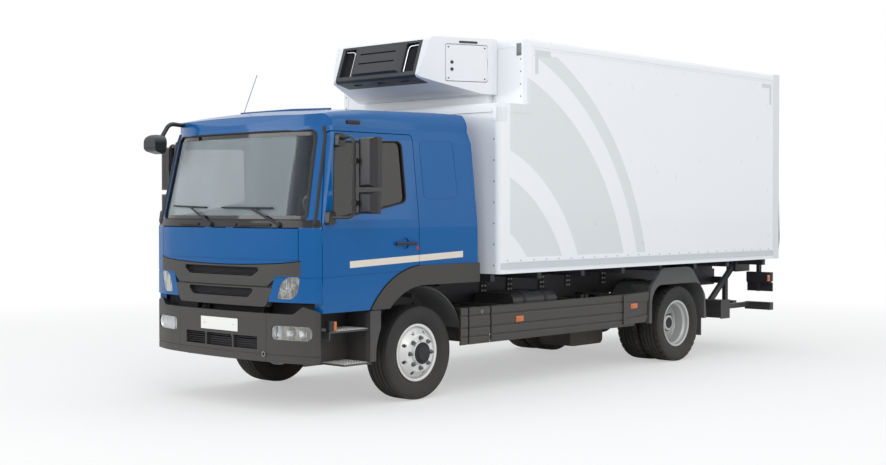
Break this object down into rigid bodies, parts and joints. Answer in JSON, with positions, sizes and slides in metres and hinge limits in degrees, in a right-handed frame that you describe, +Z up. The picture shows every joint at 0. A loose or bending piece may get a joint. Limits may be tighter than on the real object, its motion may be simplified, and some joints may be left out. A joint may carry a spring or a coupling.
{
  "type": "refrigerated box truck",
  "caption": "Two-axle refrigerated box truck with a tilting sleeper cab, insulated body, cooling unit over the cab and folded tail lift.",
  "frame": {"origin": "on the ground under the middle of the truck's length and width", "axes": "+Z up, the front faces -Y, +X is the vehicle's left side"},
  "size_m": [3.0084, 7.945, 3.4],
  "materials": {
    "cab_paint": "gloss blue paint",
    "grey_plastic": "grained dark grey plastic",
    "black_plastic": "black plastic",
    "window_glass": "lightly tinted glass",
    "lamp_glass": "clear lamp cover",
    "rear_lamp": "red and orange lamp cover",
    "mirror_black": "black mirror housing and tube",
    "tyre": "road tyre",
    "front_rim_paint": "silver painted steel",
    "rear_rim_paint": "silver grey painted steel",
    "chassis_paint": "satin chassis paint",
    "cast_parts": "cast and forged axle parts",
    "engine": "engine block",
    "skirt_grey": "dark grey side skirt",
    "tank": "black painted tank",
    "exhaust": "dull steel silencer",
    "mudguard_plastic": "grey mudguard plastic",
    "body_panel": "white insulated panel",
    "body_aluminium": "white painted aluminium frame",
    "lift_aluminium": "aluminium platform",
    "lift_steel": "dark painted lift steel",
    "unit_white": "white unit housing",
    "unit_dark": "anthracite unit grille",
    "seat_fabric": "woven seat cloth",
    "socket_steel": "machined steel socket"
  },
  "bodies": {
    "chassis": {"ladder_frame": "chassis_paint", "body_subframe": "chassis_paint", "engine_block": "engine", "front_bumper": "grey_plastic", "bumper_lamps": "lamp_glass", "towing_socket": "socket_steel", "entry_steps": "black_plastic", "battery_box": "skirt_grey", "side_skirts": "skirt_grey", "fuel_tank": "tank", "silencer": "exhaust", "mudguards": "mudguard_plastic", "front_axle": "cast_parts", "rear_axle": "cast_parts", "leaf_springs": "chassis_paint", "lift_beam": "lift_steel", "underride_guard": "lift_steel", "rear_lamps": "rear_lamp", "box_floor": "body_panel", "box_sides": "body_panel", "box_roof": "body_panel", "box_front": "body_panel", "rear_frame": "body_aluminium", "rear_doors": "body_panel", "unit_housing": "unit_white", "unit_grille": "unit_dark"},
    "unit_hatch": {"unit_hatch": "unit_white"},
    "cab": {"front_frame": "cab_paint", "cab_side_shell": "cab_paint", "cab_roof": "cab_paint", "cab_floor": "black_plastic", "windscreen": "window_glass", "grille": "grey_plastic", "cab_lamps": "lamp_glass", "arch_flares": "grey_plastic", "dashboard": "black_plastic", "seats": "seat_fabric", "bunk": "seat_fabric", "kerb_mirror": "mirror_black"},
    "front_lid": {"front_lid": "cab_paint"},
    "door_left": {"door_left": "cab_paint", "door_glass_left": "window_glass", "mirror_left": "mirror_black"},
    "door_right": {"door_right": "cab_paint", "door_glass_right": "window_glass", "mirror_right": "mirror_black"},
    "knuckle_left": {"knuckle_left": "cast_parts"},
    "knuckle_right": {"knuckle_right": "cast_parts"},
    "wheel_front_left": {"front_tyre_left": "tyre", "front_rim_left": "front_rim_paint"},
    "wheel_front_right": {"front_tyre_right": "tyre", "front_rim_right": "front_rim_paint"},
    "wheel_rear_left": {"rear_tyres_left": "tyre", "rear_rims_left": "rear_rim_paint"},
    "wheel_rear_right": {"rear_tyres_right": "tyre", "rear_rims_right": "rear_rim_paint"},
    "lift_arms": {"lift_arms": "lift_steel"},
    "tilt_cylinders": {"tilt_cylinders": "lift_steel"},
    "lift_head": {"lift_head": "lift_steel"},
    "lift_platform": {"lift_platform": "lift_aluminium"}
  },
  "joints": [
    {"name": "cab_tilt", "type": "hinge", "parent": "chassis", "child": "cab", "pos_m": [0, -3.7775, 0.79], "axis": [1, 0, 0], "range_deg": [0, 55]},
    {"name": "front_lid_hinge", "type": "hinge", "parent": "cab", "child": "front_lid", "pos_m": [0, -3.8725, 1.5745], "axis": [-1, 0, 0], "range_deg": [0, 85]},
    {"name": "door_left_hinge", "type": "hinge", "parent": "cab", "child": "door_left", "pos_m": [1.1475, -3.683, 1.5], "axis": [0, 0, -1], "range_deg": [0, 70]},
    {"name": "door_right_hinge", "type": "hinge", "parent": "cab", "child": "door_right", "pos_m": [-1.1475, -3.683, 1.5], "axis": [0, 0, 1], "range_deg": [0, 70]},
    {"name": "unit_hatch_hinge", "type": "hinge", "parent": "chassis", "child": "unit_hatch", "pos_m": [0.9035, -1.284, 3.15], "axis": [0, 0, 1], "range_deg": [0, 90]},
    {"name": "steer_left", "type": "hinge", "parent": "chassis", "child": "knuckle_left", "pos_m": [0.79, -2.4475, 0.43], "axis": [0, 0, 1], "range_deg": [-40, 40]},
    {"name": "steer_right", "type": "hinge", "parent": "chassis", "child": "knuckle_right", "pos_m": [-0.79, -2.4475, 0.43], "axis": [0, 0, 1], "range_deg": [-40, 40]},
    {"name": "wheel_front_left_spin", "type": "hinge", "parent": "knuckle_left", "child": "wheel_front_left", "pos_m": [0.954, -2.4475, 0.43], "axis": [1, 0, 0], "continuous": true},
    {"name": "wheel_front_right_spin", "type": "hinge", "parent": "knuckle_right", "child": "wheel_front_right", "pos_m": [-0.954, -2.4475, 0.43], "axis": [1, 0, 0], "continuous": true},
    {"name": "wheel_rear_left_spin", "type": "hinge", "parent": "chassis", "child": "wheel_rear_left", "pos_m": [1.017, 1.7725, 0.43], "axis": [1, 0, 0], "continuous": true},
    {"name": "wheel_rear_right_spin", "type": "hinge", "parent": "chassis", "child": "wheel_rear_right", "pos_m": [-1.017, 1.7725, 0.43], "axis": [1, 0, 0], "continuous": true},
    {"name": "lift", "type": "hinge", "parent": "chassis", "child": "lift_arms", "pos_m": [0, 3.0225, 0.6], "axis": [-1, 0, 0], "range_deg": [0, 74.6]},
    {"name": "lift_parallel", "type": "hinge", "parent": "chassis", "child": "tilt_cylinders", "pos_m": [0, 3.0025, 0.51], "axis": [-1, 0, 0], "range_deg": [0, 74.6]},
    {"name": "lift_level", "type": "hinge", "parent": "lift_arms", "child": "lift_head", "pos_m": [0, 3.6125, 1.05], "axis": [1, 0, 0], "range_deg": [0, 74.6]},
    {"name": "platform_fold", "type": "hinge", "parent": "lift_head", "child": "lift_platform", "pos_m": [0, 3.9245, 1.068], "axis": [-1, 0, 0], "range_deg": [0, 90]}
  ],
  "couplings": [
    {"joint": "steer_right", "follows": "steer_left", "ratio": 1},
    {"joint": "lift_parallel", "follows": "lift", "ratio": 1},
    {"joint": "lift_level", "follows": "lift", "ratio": 1}
  ]
}
